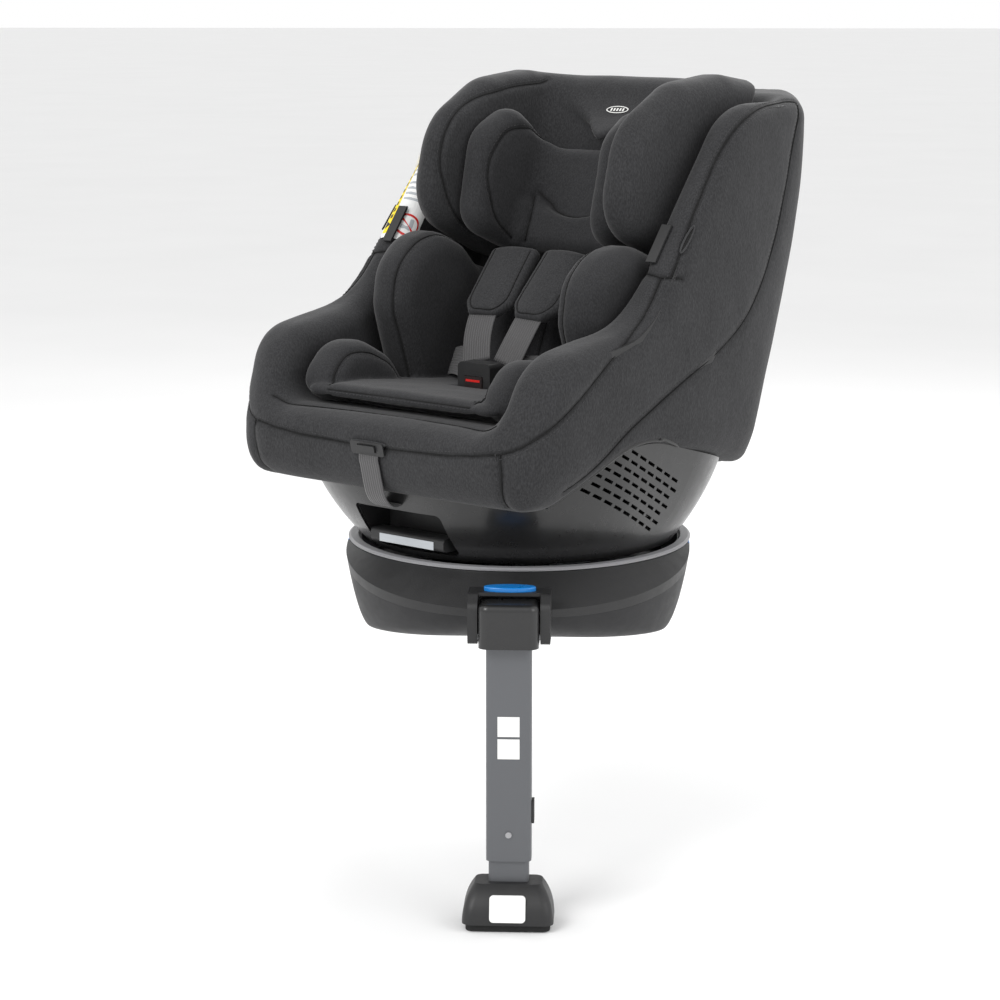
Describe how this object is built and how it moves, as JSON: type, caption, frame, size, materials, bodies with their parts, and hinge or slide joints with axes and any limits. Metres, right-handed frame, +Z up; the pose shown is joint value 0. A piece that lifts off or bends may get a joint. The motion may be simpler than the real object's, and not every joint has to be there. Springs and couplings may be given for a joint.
{
  "type": "convertible car seat",
  "caption": "Padded child car seat with harness and sliding headrest that spins and reclines on a base with rear connectors and a folding, telescoping load leg.",
  "frame": {"origin": "on the turntable's axis, in the base's underside plane that rests on the vehicle cushion", "axes": "+Z up along the turntable's axis, -Y towards the load leg, +Y towards the rear connectors; the seat is stored turned 37 degrees clockwise seen from above"},
  "size_m": [0.5918, 0.6442, 0.8324],
  "materials": {
    "charcoal_fabric": "woven knit",
    "insert_fabric": "soft knit",
    "webbing": "ribbed webbing",
    "foam": "moulded foam",
    "black_gloss": "satin gloss",
    "black_plastic": "fine texture",
    "grey_plastic": "fine texture",
    "ring_grey": "satin",
    "blue_plastic": "satin gloss",
    "red_plastic": "satin gloss",
    "leg_paint": "satin",
    "steel": "brushed",
    "rubber": "matte",
    "label_white": "printed film",
    "label_grey": "satin",
    "label_yellow": "printed film"
  },
  "bodies": {
    "base": {"base_tray": "grey_plastic", "base_cover": "black_plastic", "leg_bracket": "black_plastic", "leg_hinge_pin": "steel", "turntable_race": "label_grey", "pivot_post": "steel", "grip_pads": "rubber", "base_screws": "steel", "isofix_guides": "black_plastic"},
    "spin_left": {"spin_release_left": "blue_plastic"},
    "spin_right": {"spin_release_right": "blue_plastic"},
    "spin_front": {"spin_release_front": "blue_plastic"},
    "leg": {"leg_knuckle": "black_gloss", "leg_outer_tube": "leg_paint", "leg_rivet": "steel", "leg_labels": "label_white"},
    "leg_slider": {"leg_height_button": "black_plastic"},
    "foot": {"leg_inner_tube": "leg_paint", "foot_shell": "black_plastic", "foot_indicator": "label_white", "foot_sole": "rubber"},
    "turntable": {"turntable_deck": "black_plastic", "turntable_ring": "ring_grey", "recline_rails": "steel"},
    "seat": {"seat_bowl": "black_gloss", "handle_recess": "black_plastic", "recline_shoes": "label_grey", "recline_carriage": "steel", "seat_struts": "black_plastic", "seat_cover": "charcoal_fabric", "seat_tub": "black_plastic", "side_foam": "foam", "body_insert": "insert_fabric", "buckle_body": "black_plastic", "adjuster_bezel": "black_plastic", "adjuster_strap": "webbing", "harness_clips": "black_plastic", "warning_label": "label_yellow", "lap_and_crotch_straps": "webbing", "tongues": "black_plastic", "shoulder_straps": "webbing"},
    "recline_pull": {"recline_handle": "black_plastic", "recline_label": "label_grey"},
    "buckle_release": {"buckle_button": "red_plastic"},
    "adjuster_release": {"adjuster_button": "black_plastic"},
    "headrest": {"headrest_frame": "black_plastic", "headrest_pad": "charcoal_fabric", "head_pillow": "insert_fabric", "headrest_tag": "webbing", "shoulder_pad_left": "insert_fabric", "shoulder_pad_right": "insert_fabric"},
    "headrest_grip": {"headrest_lever": "grey_plastic"},
    "arm_left": {"isofix_bar_left": "steel", "isofix_head_left": "black_plastic"},
    "hook_left": {"isofix_hook_left": "steel"},
    "release_left": {"isofix_release_left": "blue_plastic"},
    "arm_right": {"isofix_bar_right": "steel", "isofix_head_right": "black_plastic"},
    "hook_right": {"isofix_hook_right": "steel"},
    "release_right": {"isofix_release_right": "blue_plastic"}
  },
  "joints": [
    {"name": "turntable_spin", "type": "hinge", "parent": "base", "child": "turntable", "pos_m": [0, 0, 0.0476], "axis": [0, 0, 1], "continuous": true},
    {"name": "seat_recline", "type": "hinge", "parent": "turntable", "child": "seat", "pos_m": [0, 0, 0.275], "axis": [-0.7986, 0.6018, 0], "range_deg": [0, 12]},
    {"name": "headrest_height", "type": "slide", "parent": "seat", "child": "headrest", "axis": [0.2206, 0.2927, 0.9304], "range_m": [0, 0.14], "deforming": ["shoulder_straps"]},
    {"name": "headrest_lever_pull", "type": "slide", "parent": "headrest", "child": "headrest_grip", "axis": [0.2206, 0.2927, 0.9304], "range_m": [0, 0.008], "stiffness_N_per_m": 400},
    {"name": "recline_handle_pull", "type": "slide", "parent": "seat", "child": "recline_pull", "axis": [-0.6018, -0.7986, 0], "range_m": [0, 0.012], "stiffness_N_per_m": 500},
    {"name": "buckle_press", "type": "slide", "parent": "seat", "child": "buckle_release", "axis": [0.6018, 0.7986, 0], "range_m": [0, 0.003], "stiffness_N_per_m": 1500},
    {"name": "adjuster_press", "type": "slide", "parent": "seat", "child": "adjuster_release", "axis": [0.5816, 0.7719, 0.2567], "range_m": [0, 0.003], "stiffness_N_per_m": 1200},
    {"name": "spin_left_press", "type": "slide", "parent": "base", "child": "spin_left", "axis": [1, 0, 0], "range_m": [0, 0.003], "stiffness_N_per_m": 1200},
    {"name": "spin_right_press", "type": "slide", "parent": "base", "child": "spin_right", "axis": [-1, 0, 0], "range_m": [0, 0.003], "stiffness_N_per_m": 1200},
    {"name": "spin_front_press", "type": "slide", "parent": "base", "child": "spin_front", "axis": [0, 0, -1], "range_m": [0, 0.0018], "stiffness_N_per_m": 1500},
    {"name": "leg_fold", "type": "hinge", "parent": "base", "child": "leg", "pos_m": [0, -0.25, 0.03], "axis": [1, 0, 0], "range_deg": [0, 90]},
    {"name": "leg_extend", "type": "slide", "parent": "leg", "child": "foot", "axis": [0, 0, -1], "range_m": [0, 0.12]},
    {"name": "leg_slider_press", "type": "slide", "parent": "leg", "child": "leg_slider", "axis": [0, 0, 1], "range_m": [0, 0.006], "stiffness_N_per_m": 400},
    {"name": "isofix_extend_left", "type": "slide", "parent": "base", "child": "arm_left", "axis": [0, 1, 0], "range_m": [0, 0.1]},
    {"name": "isofix_release_left_press", "type": "slide", "parent": "arm_left", "child": "release_left", "axis": [0, -1, 0], "range_m": [0, 0.008], "stiffness_N_per_m": 400},
    {"name": "isofix_hook_left_open", "type": "hinge", "parent": "arm_left", "child": "hook_left", "pos_m": [-0.14, 0.245, 0.025], "axis": [1, 0, 0], "range_deg": [-18.5, 0]},
    {"name": "isofix_extend_right", "type": "slide", "parent": "base", "child": "arm_right", "axis": [0, 1, 0], "range_m": [0, 0.1]},
    {"name": "isofix_release_right_press", "type": "slide", "parent": "arm_right", "child": "release_right", "axis": [0, -1, 0], "range_m": [0, 0.008], "stiffness_N_per_m": 400},
    {"name": "isofix_hook_right_open", "type": "hinge", "parent": "arm_right", "child": "hook_right", "pos_m": [0.14, 0.245, 0.025], "axis": [1, 0, 0], "range_deg": [-18.5, 0]}
  ],
  "couplings": [
    {"joint": "isofix_hook_left_open", "follows": "isofix_release_left_press", "rad_per_m": -39.25},
    {"joint": "isofix_hook_right_open", "follows": "isofix_release_right_press", "rad_per_m": -39.25}
  ]
}
